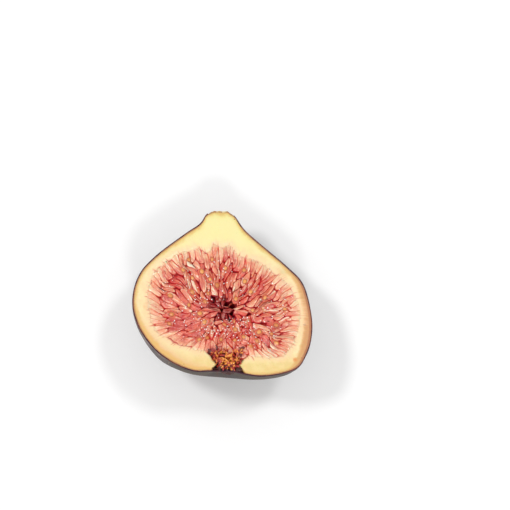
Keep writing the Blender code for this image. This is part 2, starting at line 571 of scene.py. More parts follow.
# the flesh is the rind, the sunken bed under the florets and the eye's canal
fleshParts = {
    "columns": 400,
    "rows": 76,
    "overlap": 0.8,  # of the skin's thickness, that the flesh's edge keeps inside the fruit's outside
    "crowding": 1.25,  # gathers the rows at the rim
    "bedEdge": 0.7,  # mm that the bed lies below the cut near the rind
    "bedMiddle": 1.5,  # mm deeper at the heart, and again in its pit, under the jumble and in the cracks
    "pit": 2.2,
    "jumble": 0.9,
    "crack": 1.8,
    "canalDepth": 2.6,
    "waver": 0.3,  # mm that the pulp's edge, the canal's edge and its floor stray
    "rough": (0.35, 0.15),  # mm, the bed's bumps, broad and fine
    "rindUneven": 0.035,  # mm
    "rimPull": 0.35,  # mm inwards for each mm below the cut
    # the hidden underside: how far out from the heart each step is, and mm below the cut
    "underside": ((0.84, 2.7), (0.5, 9.0)),
    "glow": 0.16,  # painted glow: emission standing in for light that seeps through the pulp's bed
    # bruises and nicks in the rind: middle and size in cm from the heart, colour, strength
    "blemishes": (
        (-2.26, -0.06, 0.15, (228, 164, 88), 0.8),
        (2.06, -1.5, 0.09, (228, 150, 78), 0.9),
        (1.62, 1.05, 0.34, (214, 178, 116), 0.5),
        (-1.55, 0.95, 0.3, (216, 176, 108), 0.45),
        (2.34, -0.42, 0.06, (150, 84, 76), 0.7),
    ),
    "colours": {
        "cream": (246, 228, 176),
        "creamShade": (240, 214, 162),
        "neck": (243, 231, 164),
        "low": (236, 214, 156),
        "base": (238, 212, 146),
        "baseShade": (232, 205, 134),
        "neckEdge": (230, 212, 122),
        "tan": (234, 184, 140),
        "amber": (228, 182, 98),
        "shoulder": (206, 142, 96),
        "russet": (178, 108, 68),
        "speck": (120, 78, 58),
        "blush": (252, 214, 168),
        "ray": (214, 96, 80),
        "salmon": (214, 78, 62),
        "salmonDeep": (176, 38, 42),
        # painted shade where the bed lies deep
        "deep": (132, 12, 28),
        # colours of the painted glow on the sunken bed
        "glow": (214, 110, 82),
        "glowDeep": (150, 20, 34),
        "canal": (124, 32, 30),
        "canalEdge": (66, 26, 28),
    },
}


def canalHalf(y):
    # half width of the eye's canal in mm at a height on the face
    canal = fig["canal"]
    flare = canal["flare"] if y > canal["waistY"] else -canal["lip"]
    return canal["waist"] + flare * (y - canal["waistY"])


def canalGap(point):
    # mm inside the canal's side, negative outside it
    x, y = point.x / mm, point.y / mm
    return min(canalHalf(y) - abs(x - fig["canal"]["middle"]), fig["canal"]["top"] + 1.0 - y)


def fleshHeight(point):
    # how high the flesh stands at a place on the cut face, and its distances in mm from pulp and canal
    arm = point - heart
    wall = pulpRadius(bearing(point))
    waver = fleshParts["waver"]
    pulpGap = (arm.length - wall) / mm
    pulpGap += waver * wobble(point, 1.6 * mm, 5.0)
    canal = canalGap(point) + waver * wobble(point, 1.2 * mm, 8.0)
    inPulp = smooth(0.9, -2.4, pulpGap)
    share = min(arm.length / max(wall, 1e-4), 1.0)
    bed = fleshParts["bedEdge"] + fleshParts["bedMiddle"] * (1.0 - share**2)
    bed += fleshParts["pit"] * smooth(5.2, 2.0, arm.length / mm)
    bed += fleshParts["jumble"] * jumbleShare(point)
    bed += fleshParts["crack"] * smooth(1.0, 0.3, crackGap(point))
    broad, fine = fleshParts["rough"]
    bed += broad * wobble(point, 1.1 * mm, 1.0) + fine * wobble(point, 0.5 * mm, 2.0)
    height = -bed * inPulp
    groove = fleshParts["canalDepth"] + waver * wobble(point, 0.8 * mm, 6.0)
    height = min(height, -groove * smooth(-0.25, 0.9, canal)) if canal > -0.25 else height
    height += fleshParts["rindUneven"] * wobble(point, 2.6 * mm, 12.0) * (1.0 - inPulp)
    return height, pulpGap, canal


def makeFlesh(material):
    bm = bmesh.new()
    columns, rows = fleshParts["columns"], fleshParts["rows"]
    bmesh.ops.create_grid(bm, x_segments=columns, y_segments=rows, size=1.0)
    face = bm.loops.layers.uv.new("face")
    layers = floatLayers(bm, ("skinGap", "pulpGap", "canalGap", "depth"))
    loop = outlineLoop(columns)
    edge = skinParts["thickness"] * fleshParts["overlap"] * mm
    flat = {}
    for vert in bm.verts:
        column = round((vert.co.x + 1.0) / 2.0 * columns) % columns
        share = (vert.co.y + 1.0) / 2.0
        arm = loop[column] - heart
        reach = (1.0 - edge / arm.length) * (1.0 - share ** fleshParts["crowding"])
        point = heart + arm * reach
        height, pulpGap, canal = fleshHeight(point)
        flat[vert] = point
        vert[layers["skinGap"]] = arm.length * (1.0 - reach) / mm
        vert[layers["pulpGap"]] = pulpGap
        vert[layers["canalGap"]] = canal
        vert[layers["depth"]] = -height
        # where the canal runs out through the rim it keeps behind the curving skin
        pull = fleshParts["rimPull"] * min(height, 0.0) * mm * (1.0 - share)
        vert.co = point + arm.normalized() * pull + up * height * mm
    for polygon in bm.faces:
        for corner in polygon.loops:
            place = flat[corner.vert] - heart
            corner[face].uv = (place.x / mm / 10.0, place.y / mm / 10.0)
    bmesh.ops.remove_doubles(bm, verts=bm.verts, dist=1e-6)
    rim = [edge for edge in bm.edges if edge.is_boundary]
    for out, depth in fleshParts["underside"]:
        made = bmesh.ops.extrude_edge_only(bm, edges=rim)["geom"]
        for vert in [item for item in made if isinstance(item, bmesh.types.BMVert)]:
            vert.co = heart + (vert.co - heart) * out
            vert.co.z = -depth * mm
        rim = [item for item in made if isinstance(item, bmesh.types.BMEdge) and item.is_boundary]
    bmesh.ops.contextual_create(bm, geom=rim)
    bmesh.ops.transform(bm, matrix=seat, verts=bm.verts)
    return finishPiece(bm, "flesh", material, "rind")


def fleshLook():
    look = Look("rind and pulp bed")
    hue = tints(fleshParts["colours"])
    face = look.uv("face")
    skinGap = look.attribute("skinGap")
    pulpGap = look.attribute("pulpGap")
    canal = look.attribute("canalGap")
    depth = look.attribute("depth")
    cloud = look.noise(face, 3.0, 3.0)
    fine = look.noise(face, 26.0, 4.0, 0.65)
    # the neck, the shoulder on the right, the lower left and the base each have their own tone
    neck = look.step(look.axis(face, "Y"), 1.2, 2.4)
    shoulder = look.step(look.axis(face, "X"), 1.7, 2.5)
    low = look.step(look.vectorMath("DOT_PRODUCT", (face, (-0.6, -0.8, 0.0)), 1), 1.5, 2.2)
    base = look.step(look.axis(face, "Y"), -1.2, -1.75)
    cream = look.mix(hue["cream"], hue["creamShade"], look.step(cloud, 0.4, 0.65))
    cream = look.mix(cream, hue["neck"], neck)
    cream = look.mix(cream, hue["low"], low)
    cream = look.mix(cream, look.mix(hue["base"], hue["baseShade"], look.step(cloud, 0.4, 0.6)), base)
    edge = skinGap + (fine - 0.5) * 0.9 + (cloud - 0.5) * 2.2 - shoulder * 1.8
    amber = look.step(edge - low * 0.7, 1.9, 0.5)
    tan = low * look.step(edge, 4.6, 1.2)
    neckEdge = neck * look.step(skinGap + (cloud - 0.5) * 2.0, 3.0, 0.9)
    colour = look.mix(cream, hue["neckEdge"], neckEdge * 0.45)
    colour = look.mix(colour, hue["tan"], tan * 0.8)
    colour = look.mix(colour, hue["amber"], amber * 0.85)
    colour = look.mix(colour, hue["shoulder"], amber * shoulder * 0.75)
    russet = look.step(skinGap + (fine - 0.5) * 0.5 - shoulder * 0.3, 0.9, 0.4)
    colour = look.mix(colour, hue["russet"], russet * 0.85)
    for x, y, size, shade, amount in fleshParts["blemishes"]:
        away = look.vectorMath("DISTANCE", (face, (x, y, 0.0)), 1) + (fine - 0.5) * 0.08
        colour = look.mix(colour, tint(*shade), look.step(away, size, size * 0.3) * amount)
    specks = look.step(look.cells(face, 4.0), 0.1, 0.05) * look.step(cloud, 0.5, 0.6)
    colour = look.mix(colour, hue["speck"], specks * 0.7)
    # pink creeps out of the pulp between the florets' roots
    spokes = look.vectorMath("NORMALIZE", (face,), 0)
    rays = look.noise(look.map(spokes, (34.0, 34.0, 1.0)), 1.0, 2.0)
    near = look.step(pulpGap + (rays - 0.5) * 3.5 + fine * 0.5, 2.6, -0.4)
    colour = look.mix(colour, hue["blush"], near)
    line = look.step(rays, 0.55, 0.66) * look.step(pulpGap + (cloud - 0.5) * 3.0, 1.1, -0.2)
    colour = look.mix(colour, hue["ray"], line * 0.75)
    inside = look.step(pulpGap + (fine - 0.5) * 1.2, 0.1, -1.8)
    inside = inside.math("MAXIMUM", look.step(depth, 0.1, 0.35) * look.step(pulpGap, 0.5, -0.8))
    colour = look.mix(colour, look.mix(hue["salmon"], hue["salmonDeep"], fine), inside)
    # painted shade: darker crimson where the bed lies deep, in the pit and the cracks
    deep = look.step(depth + cloud * 0.6, 2.4, 4.4)
    colour = look.mix(colour, hue["deep"], deep * inside)
    gullet = look.step(canal + (fine - 0.5) * 0.8, -0.1, 0.5)
    canalSide = look.mix(hue["canalEdge"], hue["canal"], look.step(skinGap, 1.2, 4.0))
    colour = look.mix(colour, canalSide, gullet)
    # painted glow: emission on the sunken bed stands in for light seeping through the pulp, so the gaps
    # stay red instead of shaded
    lit = look.step(depth, 0.2, 0.6) * look.step(depth, 3.4, 1.6) * (1.0 - gullet)
    glow = look.mix(hue["glow"], hue["glowDeep"], look.step(pulpGap, -1.0, -5.0))
    wet = look.noise(face, 12.0, 2.0)
    return look.surface(
        Base_Color=colour,
        Roughness=0.42 - inside * 0.2 + fine * 0.1,
        Normal=look.bump(fine * 0.5 + wet * 0.5, 0.00022, 0.7),
        Specular_IOR_Level=0.55,
        Subsurface_Weight=0.35,
        Subsurface_Radius=(1.0, 0.4, 0.25),
        Subsurface_Scale=0.0008,
        Coat_Weight=0.15 + inside * 0.4,
        Coat_Roughness=0.1,
        Emission_Color=look.mix(tint(0, 0, 0), glow, lit),
        Emission_Strength=fleshParts["glow"],
    )


lobeParts = {
    "width": 0.98,  # mm, the least between lobes side by side
    "stretch": 4.0,  # how much farther apart they are end to end
    "stretchJumbled": 2.3,
    "stretchRind": 1.2,  # longer again beside the rind
    "lean": (0.07, 0.5),  # radians that they turn aside, and more in the jumble
    "widths": (0.92, 1.18),  # how they vary
    "tries": 14000,
    "firstRow": 1.3,  # mm from the rind to the nearest lobes' middles
    "hole": 2.1,  # mm round the heart without lobes
    "roll": 0.24,  # mm that a lobe's side dips under its neighbour
    "sides": 16,
    "rounding": 0.4,  # how far its corners are drawn in
    "past": 1.1,  # mm that they reach in under the rind
    "split": (-0.04, -0.02),  # mm, half the split between lobes at the rind and farther in
    "splitDeep": 0.12,  # near the heart
    "splits": (0.5, 1.4),  # how they vary
    "tilt": 0.35,  # mm that one end lies higher than the other
    "rollUneven": 0.12,  # mm that the dipping side varies
    "bumps": 0.14,  # mm
    "smearDepth": 0.45,  # mm that the wet patch lies below the cut
    "sway": 2.4,  # mm that the rows of lobes bend to the side
    "swayWave": 5.0,  # mm
    "tuck": 0.3,  # mm that the outer ends sink
    "fountain": 0.36,  # how far their growth bends up towards the stalk
    "hollow": (0.8, 2.2),  # mm that the pulp sinks towards the heart, and again beside it
    "jumbleSunk": 0.4,
    "clump": 0.35,  # mm that lobes rise and fall together
    "uneven": 0.5,  # mm that each sinks by itself
    "jumble": (3.4, 12.6, 7.8, 5.4),  # where florets stand end-on: middle x, y and half sizes, mm
    "smear": (-9.6, 13.0, 5.0, 3.3, 38.0),  # a smooth wet patch: middle x, y, half sizes, turn in degrees
    "seedShare": 0.34,  # of the florets that show a seed
    "seedGap": 2.5,  # mm, the least between two seeds
    "seedDepth": 1.6,  # mm that the seeds keep from the rind
    # splits between the florets, in mm on the cut face
    "cracks": (
        ((4.2, 24.4), (4.5, 33.2)),
        ((-2.1, 23.6), (-1.7, 27.8)),
        ((-1.2, 20.2), (3.0, 20.8)),
        ((3.2, 19.8), (8.4, 18.9)),
        ((1.2, 19.4), (2.2, 22.6)),
        ((2.6, 20.4), (4.2, 22.0)),
    ),
    "crackWidth": 0.66,
    "glow": 0.28,  # painted glow: emission standing in for light that seeps through the thin flesh
    "colours": {
        "pale": (252, 214, 172),
        "paleDeep": (244, 168, 128),
        "middle": (236, 132, 96),
        "middleDeep": (216, 80, 60),
        "warm": (236, 122, 70),
        "red": (228, 88, 62),
        "redDeep": (196, 42, 40),
        # pale and red streaks: partly the lobes' fibres, partly painted highlight on the pale ridges and
        # painted shade in the red furrows
        "ridge": (254, 228, 196),
        "furrow": (196, 52, 50),
        # redder sides and outline: the florets' own red walls with painted shade
        "side": (204, 44, 46),
        "sideOuter": (232, 110, 88),
        # painted shade in the clefts between lobes, darker towards the heart
        "cleftShade": (212, 58, 54),
        "cleftShadeDeep": (166, 26, 44),
        # painted shade on florets that lie deep below the cut
        "hollow": (166, 18, 36),
        "root": (252, 222, 172),
        # colours of the painted glow in the furrows
        "glow": (152, 18, 34),
        "glowOuter": (212, 104, 80),
    },
}

# a lobe's rows from under it to its top: the share of the way in to its spine, and mm below its top
lobeRows = ((1.0, 1.6), (0.0, 1.1), (0.0, 0.28), (0.12, 0.12), (0.32, 0.02), (0.6, 0.0), (1.0, 0.03))

curlParts = {
    "sides": 8,
    "rings": 10,
    "gap": 1.75,  # mm between heads
    "headLength": 4.2,
    "headRadius": 0.8,
    "stalkRadius": 0.45,
    "behind": 5.4,  # mm that a floret reaches back
    "varied": {  # how these four vary
        "headLength": (0.75, 1.15),
        "headRadius": (0.75, 1.2),
        "stalkRadius": (0.85, 1.15),
        "behind": (0.7, 1.15),
    },
    "sway": 0.9,  # mm that they bend aside
    "tipSunk": (0.9, 1.5),  # how far below the top the tip and the bend before it are, in radii
    "bendSunk": (0.55, 0.8),
    "stalkSunk": (0.2, 0.6),  # mm, and the root
    "rootSunk": (1.0, 1.6),
    "lift": 0.45,  # mm above the lobes
    "lean": (0.7, 0.25),  # radians, how much they turn aside in the jumble and outside it
    "fromRind": 4.5,  # mm, the least to the rind, and to the heart
    "fromHeart": 3.6,
    "strayShare": 0.07,  # of the places outside the jumble
    "gridReach": 24.0,  # mm
    "shake": 0.32,  # of the gap
    "cupShare": 0.28,
    "cupSeedShare": 0.6,
    "cupRadii": (0.72, 1.0),  # mm
    "cupLift": 0.4,
    "cupDepth": 2.4,
    "cupSlant": 0.8,
    # pale hooked florets: x and y in mm, and the way that they point back in degrees
    "hooks": (
        (9.3, 16.2, 75.0), (15.2, 13.4, 30.0), (5.6, 12.6, 100.0), (-5.2, 15.8, 150.0),
        (12.2, 20.6, 15.0), (-0.8, 22.4, 64.0), (17.6, 15.8, 10.0), (0.4, 29.4, 82.0),
    ),
}

# a cup's rows from its root: how far along it, and how wide beside its widest
cupRows = (
    (0.0, 0.0), (0.02, 0.4), (0.35, 0.5), (0.6, 0.8), (0.8, 0.98), (0.91, 1.0),
    (0.98, 0.93), (1.0, 0.8), (0.97, 0.66), (0.93, 0.4), (0.92, 0.0),
)


def onFace(angle, radius):
    turn = math.radians(angle)
    return heart + Vector((math.cos(turn) * radius, math.sin(turn) * radius, 0.0))


def nearestOn(point, start, end):
    # the place nearest to a point on the stretch between two others, all in mm on the face
    run = end - start
    share = min(max((point - start).dot(run) / run.length_squared, 0.0), 1.0)
    return start + run * share


def crackGap(point):
    flat = point.xy / mm
    cracks = [(Vector(start), Vector(end)) for start, end in lobeParts["cracks"]]
    return min((flat - nearestOn(flat, start, end)).length for start, end in cracks)


def besideCracks(point):
    # a point moved out of the cracks and out from behind the rind
    arm = point - heart
    reach = pulpRadius(bearing(point)) + lobeParts["past"] * mm
    if arm.length > reach:
        point = heart + arm * (reach / arm.length)
    flat = point.xy / mm
    for start, end in lobeParts["cracks"]:
        away = flat - nearestOn(flat, Vector(start), Vector(end))
        width = lobeParts["crackWidth"] * (1.0 + wobble(point, 1.3 * mm, 71.0))
        if 1e-6 < away.length < width:
            flat += away * (width / away.length - 1.0)
    return Vector((flat.x * mm, flat.y * mm, point.z))


def smearGap(point):
    # below 0 inside the wet patch, 1 at a half size outside it
    x, y, width, height, turn = lobeParts["smear"]
    away = Matrix.Rotation(-math.radians(turn), 2) @ Vector((point.x / mm - x, point.y / mm - y))
    return math.hypot(away.x / width, away.y / height) - 1.0 + 0.5 * wobble(point, 2.6 * mm, 81.0)


def jumbleShare(point):
    x, y, width, height = lobeParts["jumble"]
    return smooth(1.25, 0.8, math.hypot((point.x / mm - x) / width, (point.y / mm - y) / height))


def inwardsAt(point):
    # metres from the rind's inner side
    return pulpRadius(bearing(point)) - (point - heart).length


def topAt(rng, place):
    # how high a floret stands: they sink towards the heart and rise and fall in clumps
    away = (place - heart).length / mm
    broad, steep = lobeParts["hollow"]
    sunk = broad * smooth(9.0, 2.0, away) + steep * smooth(4.8, 1.5, away)
    sunk += lobeParts["jumbleSunk"] * jumbleShare(place)
    clump = lobeParts["clump"] * wobble(place, 3.0 * mm, 61.0)
    shallow = max(smooth(0.0, 3.5, inwardsAt(place) / mm), mouthShare(place))
    own = rng.uniform(0.0, lobeParts["uneven"]) * (1.0 + jumbleShare(place))
    return -(0.03 + (own + max(clump, -0.05) + sunk) * shallow) * mm


def mouthShare(point):
    # 1 where the pulp opens into the eye's canal
    canal = fig["canal"]
    return smooth(7.6, 4.6, math.hypot(point.x / mm - canal["middle"], point.y / mm - canal["top"] - 0.8))


def redness(rng, place):
    deep = 0.4 * smooth(11.0, 3.0, (place - heart).length / mm)
    return smooth(0.0, 0.4, 1.5 * wobble(place, 3.6 * mm, 21.0) + rng.uniform(-0.45, 0.45) + deep)


def swayed(point):
    # rows of lobes flow in soft bends that neighbours share
    arm = point - heart
    out = arm.normalized()
    amount = lobeParts["sway"] * smooth(-0.5, 6.5, inwardsAt(point) / mm)
    amount *= smooth(1.0, 6.0, arm.length / mm)
    side = Vector((-out.y, out.x, 0.0))
    wave = lobeParts["swayWave"] * mm
    bend = side * wobble(point, wave, 41.0) + out * 0.5 * wobble(point, wave, 43.0)
    return point + bend * amount * mm


def growth(place):
    # the way a floret grows from the heart outwards, bent up towards the stalk like a fountain
    arm = (place - heart).xy
    fromUp = math.atan2(arm.x, arm.y)
    bend = lobeParts["fountain"] * smooth(2.3, 1.2, abs(fromUp)) * smooth(2.0, 9.0, arm.length / mm)
    return Matrix.Rotation(fromUp * bend, 2) @ arm.normalized()


def lobeSite(rng, place):
    calmLean, jumbledLean = lobeParts["lean"]
    lean = rng.gauss(0.0, calmLean + jumbledLean * jumbleShare(place))
    along = Matrix.Rotation(lean, 2) @ growth(place)
    width = lobeParts["width"] * rng.uniform(*lobeParts["widths"]) * mm
    stretch = blend(lobeParts["stretch"], lobeParts["stretchJumbled"], jumbleShare(place))
    stretch *= blend(0.75, 1.0, smooth(2.0, 8.0, (place - heart).length / mm))
    stretch *= blend(lobeParts["stretchRind"], 1.0, smooth(1.0, 5.0, inwardsAt(place) / mm))
    across = Vector((-along.y, along.x))
    return {"place": place.xy, "along": along, "across": across, "width": width, "length": width * stretch}


def measured(site, step):
    # a step on the face in the site's own lengths and widths
    return Vector((step.dot(site["along"]) / site["length"], step.dot(site["across"]) / site["width"]))


def siteGap(first, second):
    x, y = second["place"] - first["place"]
    if abs(x) + abs(y) > 14.0 * mm:
        return 99.0
    total = 0.0
    for owner in (first, second):
        along, across = owner["along"], owner["across"]
        total += ((x * along.x + y * along.y) / owner["length"]) ** 2
        total += ((x * across.x + y * across.y) / owner["width"]) ** 2
    return total / 2.0


def lobeSites(rng):
    # places thrown down one by one, kept where no earlier one is too near
    sites = []
    for _ in range(lobeParts["tries"]):
        angle = rng.uniform(-180.0, 180.0)
        reach = pulpRadius(angle) - lobeParts["firstRow"] * mm
        place = onFace(angle, reach * math.sqrt(rng.random()))
        if canalGap(place) > -0.2 and place.y < fig["canal"]["top"] * mm:
            continue
        if (place - heart).length < lobeParts["hole"] * mm:
            continue
        site = lobeSite(rng, place)
        if all(siteGap(site, other) > 1.0 for other in sites):
            sites.append(site)
    return sites


def clipped(polygon, middle, push):
    # the part of a polygon on the near side of the line through middle
    kept = []
    for start, end in zip(polygon, polygon[1:] + polygon[:1]):
        inside = (start - middle).dot(push) <= 0.0
        if inside:
            kept.append(start)
        if inside != ((end - middle).dot(push) <= 0.0):
            kept.append(start.lerp(end, (middle - start).dot(push) / (end - start).dot(push)))
    return kept


def lobeCell(site, sites):
    # the ground that is nearer to this site than to its neighbours
    along, across = site["along"] * site["length"], site["across"] * site["width"] * 1.7
    cell = [site["place"] + along * x + across * y for x, y in ((1, 1), (-1, 1), (-1, -1), (1, -1))]
    for other in sites:
        if other is site or siteGap(site, other) > 6.0:
            continue
        step = other["place"] - site["place"]
        push = Vector((0.0, 0.0))
        for owner in (site, other):
            share = measured(owner, step)
            push += owner["along"] * share.x / owner["length"] + owner["across"] * share.y / owner["width"]
        cell = clipped(cell, site["place"] + step / 2.0, push)
        if len(cell) < 3:
            return []
    return cell


def evenOutline(site, cell):
    # the cell's outline as evenly spread points with its corners rounded
    count = lobeParts["sides"]
    sides = [end - start for start, end in zip(cell, cell[1:] + cell[:1])]
    walks = [math.hypot(side.dot(site["along"]) * 0.5, side.dot(site["across"])) for side in sides]
    points = spreadPoints(cell, [0.0, *itertools.accumulate(walks)], count)
    between = [(points[index - 1] + points[(index + 1) % count]) / 2.0 for index in range(count)]
    return [point.lerp(other, lobeParts["rounding"]) for point, other in zip(points, between)]


def polar(point):
    # direction and distance from the heart, scaled alike for the streaks of the look
    arm = point - heart
    return Vector((math.atan2(arm.y, arm.x) * 3.0, arm.length / mm / 10.0))


def lobeGrain(site, point):
    # across and along the lobe, scaled for the streaks of the look
    step = (point - site["place"]) / mm
    return Vector((step.dot(site["across"]) * 0.2, step.dot(site["along"]) * 0.1))


def lobeSpec(rng, site, sites):
    cell = lobeCell(site, sites)
    if not cell:
        return None
    outline = evenOutline(site, cell)
    middle = sum(outline, Vector((0.0, 0.0))) / len(outline)
    reach = [(point - middle).dot(site["along"]) for point in outline]
    halfWidth = max(abs((point - middle).dot(site["across"])) for point in outline)
    first, last = min(reach) + halfWidth * 0.8, max(reach) - halfWidth * 0.8
    first, last = min(first, 0.0), max(last, 0.0)
    place = Vector((*middle, 0.0))
    calm = smooth(0.35, -0.1, smearGap(place))
    inwards = inwardsAt(place) / mm
    split = blend(*lobeParts["split"], smooth(0.0, 5.0, inwards))
    split = blend(split, lobeParts["splitDeep"], smooth(9.0, 2.0, (place - heart).length / mm))
    split *= rng.uniform(*lobeParts["splits"])
    spine, edge = [], []
    for point, along in zip(outline, reach):
        target = middle + site["along"] * min(max(along, first), last)
        inner = point + (target - point).normalized() * split * (1.0 - 0.8 * calm) * mm
        spine.append(besideCracks(swayed(Vector((*target, 0.0)))))
        edge.append(besideCracks(swayed(Vector((*inner, 0.0)))))
    top = topAt(rng, place)
    tilt = rng.gauss(0.0, lobeParts["tilt"]) * smooth(0.0, 5.0, inwards) * (1.0 - calm)
    roll = lobeParts["roll"] * math.copysign(1.0, wobble(place, 9.0 * mm, 55.0))
    roll += rng.gauss(0.0, lobeParts["rollUneven"])
    roll *= smooth(0.5, 4.0, inwards) * (1.0 - calm)
    tilts = [
        (tilt * along / site["length"], roll * (point - middle).dot(site["across"]) / max(halfWidth, 1e-5))
        for point, along in zip(outline, reach)
    ]
    seedColumn = rng.randrange(lobeParts["sides"])
    seeded = rng.random() < lobeParts["seedShare"] * (1.0 - calm) and inwards > 2.0
    seeded = seeded and (place - heart).length > 3.5 * mm
    seedAt = spine[seedColumn].copy()
    seedAt.z = top
    run = spine[reach.index(max(reach))] - spine[reach.index(min(reach))]
    seeded = seeded and inwardsAt(seedAt) > lobeParts["seedDepth"] * mm
    return {
        "kind": "lobe",
        "edge": edge,
        "spine": spine,
        "tilts": tilts,
        "top": blend(top, -lobeParts["smearDepth"] * mm, calm),
        "calm": calm,
        "tone": rng.random(),
        "juice": max(redness(rng, place), calm, 0.6 * mouthShare(place)),
        "shift": rng.uniform(0.0, 40.0),
        "flow": [lobeGrain(site, point) for point in outline],
        "flowMiddle": lobeGrain(site, middle),
        "seeded": seeded,
        "seedAt": seedAt,
        "seedTurn": math.atan2(run.y, run.x),
        "beadsAt": [edge[column].lerp(spine[column], rng.random()) for column in (3, 8, 13)],
    }


floretLayers = ("rim", "below", "inwards", "tone", "juice", "depth", "turn", "reach")


def setLayers(vert, layers, *values):
    for name, value in zip(floretLayers, values):
        vert[layers[name]] = value


def addLobe(bm, ball, layers, spec):
    # a ball whose rows follow the lobe's outline, pressed flat at the knife's plane
    last = len(lobeRows) - 1
    middle = sum(spec["spine"], Vector()) / lobeParts["sides"]
    for vert in stamp(bm, ball):
        row = round(math.acos(min(max(-vert.co.z, -1.0), 1.0)) / math.pi * last)
        column = round(math.atan2(vert.co.y, vert.co.x) / (2.0 * math.pi) * lobeParts["sides"])
        column %= lobeParts["sides"]
        share, drop = lobeRows[row]
        point, lean, flow = middle, 0.0, spec["flowMiddle"]
        if 0 < row < last:
            point = spec["edge"][column].lerp(spec["spine"][column], share)
            tilt, roll = spec["tilts"][column]
            lean = tilt + roll * (1.0 - share)
            flow = spec["flow"][column].lerp(spec["flowMiddle"], share * 0.5)
        inwards = max(inwardsAt(point) / mm, 4.0 * mouthShare(point))
        if row > 1:
            drop *= blend(0.45, 1.0, smooth(0.0, 6.0, inwards)) * (1.0 - 0.85 * spec["calm"])
        ridge = lobeParts["bumps"] * wobble(point, 0.8 * mm, spec["shift"])
        # the outer ends run down into the rind
        tuck = lobeParts["tuck"] * smooth(0.6, -0.2, inwards)
        height = min(spec["top"] + (lean + ridge - drop) * mm, -0.02 * mm) - tuck * mm
        rim = (1.0 - share) * (1.0 - 0.85 * spec["calm"])
        below = drop + 0.6 * max(-lean, 0.0)
        setLayers(vert, layers, rim, below, inwards, spec["tone"], spec["juice"], -height / mm, *flow)
        vert.co = point + up * height


def curlRow(row, headShare, stalk, radius):
    # rows 0 to 3 are the stalk, 3 to 10 the head with its blunt tip
    if row <= 3:
        return (0.0, 0.03, 0.55, 1.0)[row] * (1.0 - headShare), stalk if row else 0.0
    along = (row - 3) / 7.0
    full = max(math.sin(math.pi * along**0.85), 0.0) ** 0.8
    return 1.0 - headShare * (1.0 - along), blend(stalk * (1.0 - along), radius, full)


def bezier(points, share):
    rest = 1.0 - share
    first, second, third, last = points
    return (
        first * rest**3
        + second * 3.0 * rest**2 * share
        + third * 3.0 * rest * share**2
        + last * share**3
    )


def addCurl(bm, ball, layers, spec):
    # a sphere drawn out along the floret's spine
    spine = spec["spine"]
    for vert in stamp(bm, ball):
        row = round(math.acos(min(max(vert.co.z, -1.0), 1.0)) / math.pi * curlParts["rings"])
        around = math.atan2(vert.co.y, vert.co.x)
        place, radius = spec["rows"][row]
        centre = bezier(spine, place)
        ahead = bezier(spine, place + 0.02) - bezier(spine, place - 0.02)
        side = ahead.cross(up)
        side = side.normalized() if side.length > 1e-5 * ahead.length else Vector((1.0, 0.0, 0.0))
        lift = side.cross(ahead).normalized()
        reach = side * math.cos(around) + lift * math.sin(around)
        radius *= 1.0 + 0.25 * wobble(centre + reach * radius, 0.9 * mm, spec["shift"])
        point = centre + reach * radius
        over = point.z - spec["top"]
        if over > 0.0:
            point.z = spec["top"] + over * spec["crown"]
        point.z = min(point.z, -0.02 * mm)
        vert.co = point
        isCup = spec["kind"] == "cup"
        inCup = isCup and row >= 8
        rim = 0.6 if isCup else math.cos(around) ** 2
        below = 0.0 if inCup else max(spec["top"] - point.z, 0.0) / mm * 0.5
        juice = 1.0 if inCup else spec["juice"]
        inwards = inwardsAt(point) / mm
        setLayers(vert, layers, rim, below, inwards, spec["tone"], juice, -point.z / mm, *polar(point))


def varied(rng, name):
    return curlParts[name] * rng.uniform(*curlParts["varied"][name]) * mm


def curlSpec(rng, place, outward):
    # its spine runs from the root over two bends to the tip
    radius = varied(rng, "headRadius")
    stalk = varied(rng, "stalkRadius")
    side = outward.cross(up)
    sway = rng.gauss(0.0, curlParts["sway"]) * mm
    top = topAt(rng, place) + curlParts["lift"] * mm
    length = min(varied(rng, "behind"), inwardsAt(place) + 0.6 * mm)
    headShare = min(varied(rng, "headLength") / length, 0.85)
    tip = place - side * sway * 0.45
    tip.z = top - radius * rng.uniform(*curlParts["tipSunk"])
    third = place + outward * length * 0.38 + side * sway
    third.z = top - radius * rng.uniform(*curlParts["bendSunk"])
    second = place + outward * length * 0.72 - side * sway
    second.z = top - stalk - rng.uniform(*curlParts["stalkSunk"]) * mm
    root = place + outward * length
    root.z = top - stalk - rng.uniform(*curlParts["rootSunk"]) * mm
    spine = (root, second, third, tip)
    seedAt = bezier(spine, 1.0 - headShare * 0.5)
    seedAt.z = top
    return {
        "kind": "curl",
        "spine": spine,
        "rows": [curlRow(row, headShare, stalk, radius) for row in range(curlParts["rings"] + 1)],
        "top": top,
        "crown": 0.5,
        "tone": rng.random(),
        "juice": redness(rng, place),
        "shift": rng.uniform(0.0, 50.0),
        "seeded": rng.random() < lobeParts["seedShare"],
        "seedAt": seedAt,
        "seedTurn": math.atan2(outward.y, outward.x),
        "beadsAt": [bezier(spine, share) for share in (0.5, 0.7, 0.9)],
    }


